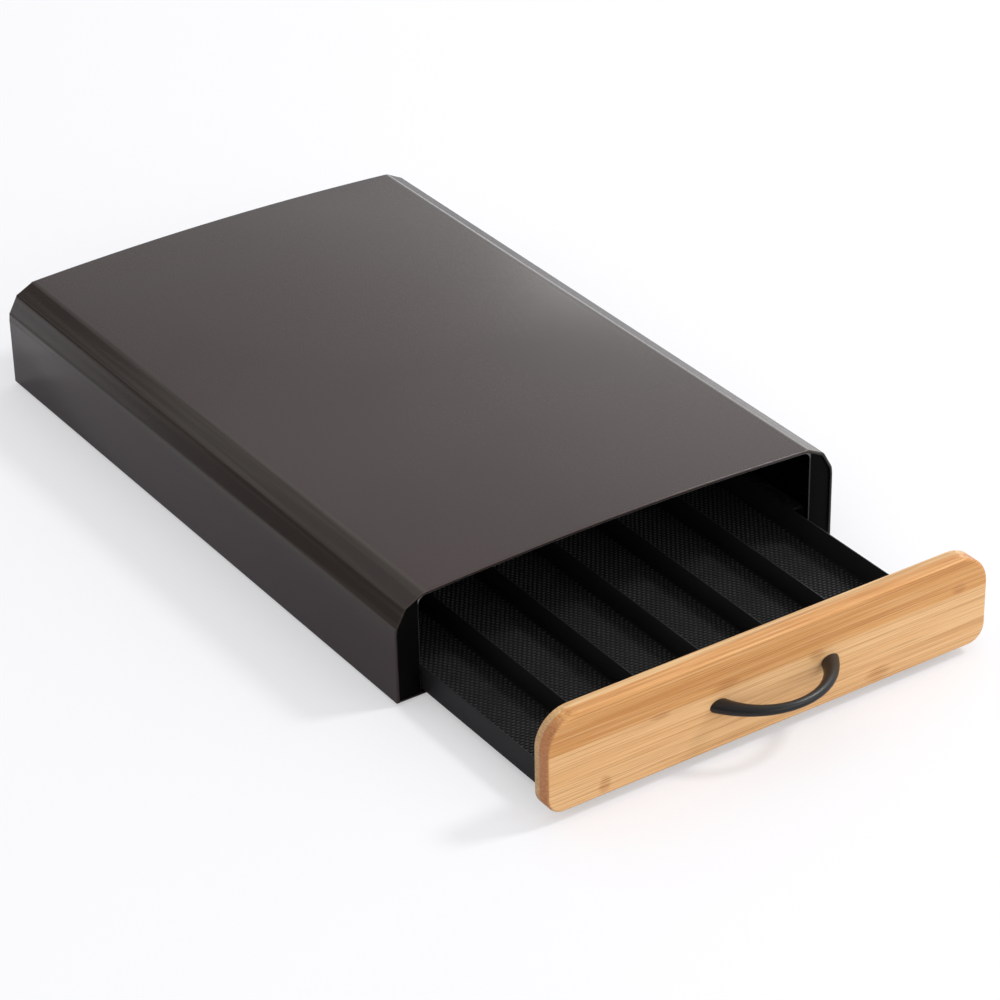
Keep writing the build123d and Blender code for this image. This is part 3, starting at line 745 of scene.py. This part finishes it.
# folded plates that only need their edges eased
fittings = {"left_stop_ear": "leftEar", "right_stop_ear": "rightEar", "left_guide_rail": "leftRail",
            "right_guide_rail": "rightRail"}
fittingEdge = 0.00018
for node, name in fittings.items():
    softCopy(node, name, fittingEdge)
print("fittings:", len(fittings))

view = {"place": (-0.9332, -1.4361, 1.0275), "yaw": -33.362, "pitch": -30.729, "roll": -1.191, "lens": 130.05,
        "sensor": 36.0, "near": 0.05, "far": 60.0}
camera = newObject("photoCamera", bpy.data.cameras.new("photoCamera"))
turn = (Matrix.Rotation(math.radians(view["yaw"]), 4, "Z") @ Matrix.Rotation(math.radians(90 + view["pitch"]), 4, "X")
        @ Matrix.Rotation(math.radians(view["roll"]), 4, "Z"))
camera.matrix_world = Matrix.Translation(view["place"]) @ turn
camera.data.lens = view["lens"]
camera.data.sensor_width = view["sensor"]
camera.data.clip_start = view["near"]
camera.data.clip_end = view["far"]
bpy.context.scene.camera = camera

# what the paint mirrors is dim towards the left, brighter at the right and a little dimmer low down
studio = {"ambient": 0.72, "mirrorLeft": (0.22, 0.37, 0.42, 0.80), "mirrorRight": (0.40, 0.60, 0.0, 0.50),
          "mirrorLow": (0.40, 0.50, -0.34, 0.02), "white": (1, 1, 1, 1), "floorSize": 8,
          "floorPaint": paint(201, 201, 205), "floorLift": 0.41}

world = bpy.data.worlds.new("studioWorld")
bpy.context.scene.world = world
world.use_nodes = True
make = Finish(world.node_tree)
seen = make.node("ShaderNodeLightPath", output="Is Camera Ray")
glossy = Wire(make, seen.socket.node.outputs["Is Glossy Ray"])
through = Wire(make, seen.socket.node.outputs["Is Transmission Ray"])
direct = make.maths("MAXIMUM", seen, through)
heading, aloft = make.split(make.node("ShaderNodeTexCoord", output="Generated"))[::2]
mirrored = make.span(heading, *studio["mirrorLeft"]) + make.span(heading, *studio["mirrorRight"])
mirrored = mirrored + make.span(aloft, *studio["mirrorLow"])
strength = make.maths("MAXIMUM", direct, glossy * mirrored)
strength = make.maths("MAXIMUM", strength, (1 - make.maths("MAXIMUM", direct, glossy)) * studio["ambient"])
background = make.node("ShaderNodeBackground", {}, {"Color": studio["white"], "Strength": strength})
make.node("ShaderNodeOutputWorld", {}, {"Surface": background})

# the floor catches the shadow, and is clear from underneath
floorShape = bmesh.new()
bmesh.ops.create_grid(floorShape, x_segments=2, y_segments=2, size=studio["floorSize"])
floorMesh = bpy.data.meshes.new("studioFloor")
floorShape.to_mesh(floorMesh)
floorShape.free()
newObject("studioFloor", floorMesh)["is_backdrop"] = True
material, make = newFinish("floorPaint")
matte = make.node("ShaderNodeBsdfDiffuse", {}, {"Color": studio["floorPaint"]})
seen = make.node("ShaderNodeLightPath", output="Is Camera Ray")
lift = make.node("ShaderNodeEmission", {}, {"Color": studio["white"], "Strength": seen * studio["floorLift"]})
lit = make.node("ShaderNodeAddShader", {}, {0: matte, 1: lift})
below = make.node("ShaderNodeNewGeometry", output="Backfacing")
clear = make.node("ShaderNodeBsdfTransparent")
floorSurface = make.node("ShaderNodeMixShader", {}, {0: below, 1: lit, 2: clear})
make.node("ShaderNodeOutputMaterial", {}, {"Surface": floorSurface})
floorMesh.materials.append(material)

lamps = {
    "keyLamp": {"place": (1.60, -0.75, 1.85), "size": (0.40, 0.40), "power": 20.0, "aim": (0.0, -0.1, 0.0)},
    "rightSoftbox": {"place": (2.10, 1.36, 0.42), "size": (2.0, 0.9), "power": 10.5, "aim": (0.0, 0.0, 0.2)},
    "frontSoftbox": {"place": (0.90, -3.30, 0.95), "size": (3.6, 1.8), "power": 27.0, "aim": (0.0, -0.2, 0.0)},
}
for name, lamp in lamps.items():
    light = bpy.data.lights.new(name, "AREA")
    light.shape = "RECTANGLE"
    light.size, light.size_y = lamp["size"]
    light.energy = lamp["power"]
    holder = newObject(name, light)
    holder.location = lamp["place"]
    aim = Vector(lamp["aim"]) - holder.location
    holder.rotation_euler = aim.to_track_quat("-Z", "Y").to_euler()

bpy.context.scene.view_settings.view_transform = "Standard"

low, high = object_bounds()
print("scene ready")
